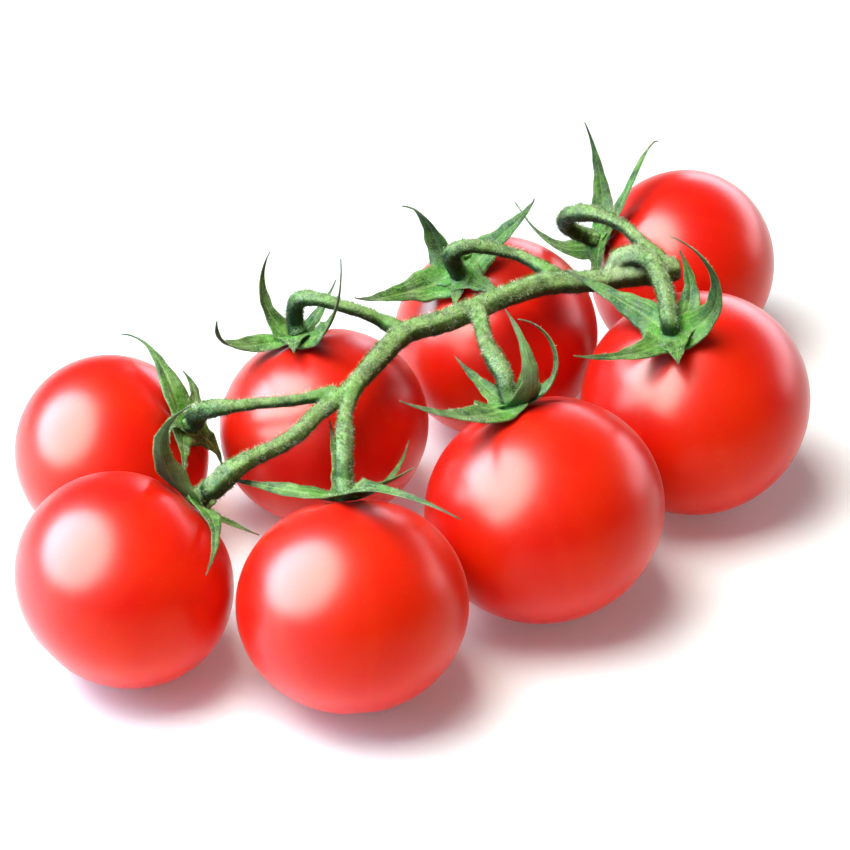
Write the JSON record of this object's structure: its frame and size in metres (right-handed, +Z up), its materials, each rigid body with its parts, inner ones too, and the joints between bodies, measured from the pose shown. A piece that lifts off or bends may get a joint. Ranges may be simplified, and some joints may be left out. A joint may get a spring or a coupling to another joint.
{
  "type": "truss of tomatoes",
  "caption": "Ripe round red tomatoes lying in two loose rows, joined by one branching green stem, each with a star of green sepals at its stalk.",
  "frame": {"origin": "centre of the bounding box on the table that the truss lies on", "axes": "+Z up from the table; +X along the long side of the truss, towards the cut end of the stem; +Y towards the row that holds the back fruits"},
  "size_m": [0.1721, 0.097, 0.0626],
  "materials": {
    "tomato_skin": null,
    "sepal_green": null,
    "stem_green": null
  },
  "bodies": {
    "root": {"stem": "stem_green", "fruit_back_left": "tomato_skin", "calyx_back_left": "sepal_green", "fruit_front_left": "tomato_skin", "calyx_front_left": "sepal_green", "fruit_front_middle": "tomato_skin", "calyx_front_middle": "sepal_green", "fruit_front_right": "tomato_skin", "calyx_front_right": "sepal_green", "fruit_right": "tomato_skin", "calyx_right": "sepal_green", "fruit_back_right": "tomato_skin", "calyx_back_right": "sepal_green", "fruit_back_middle": "tomato_skin", "calyx_back_middle": "sepal_green", "fruit_middle": "tomato_skin", "calyx_middle": "sepal_green"}
  },
  "joints": []
}
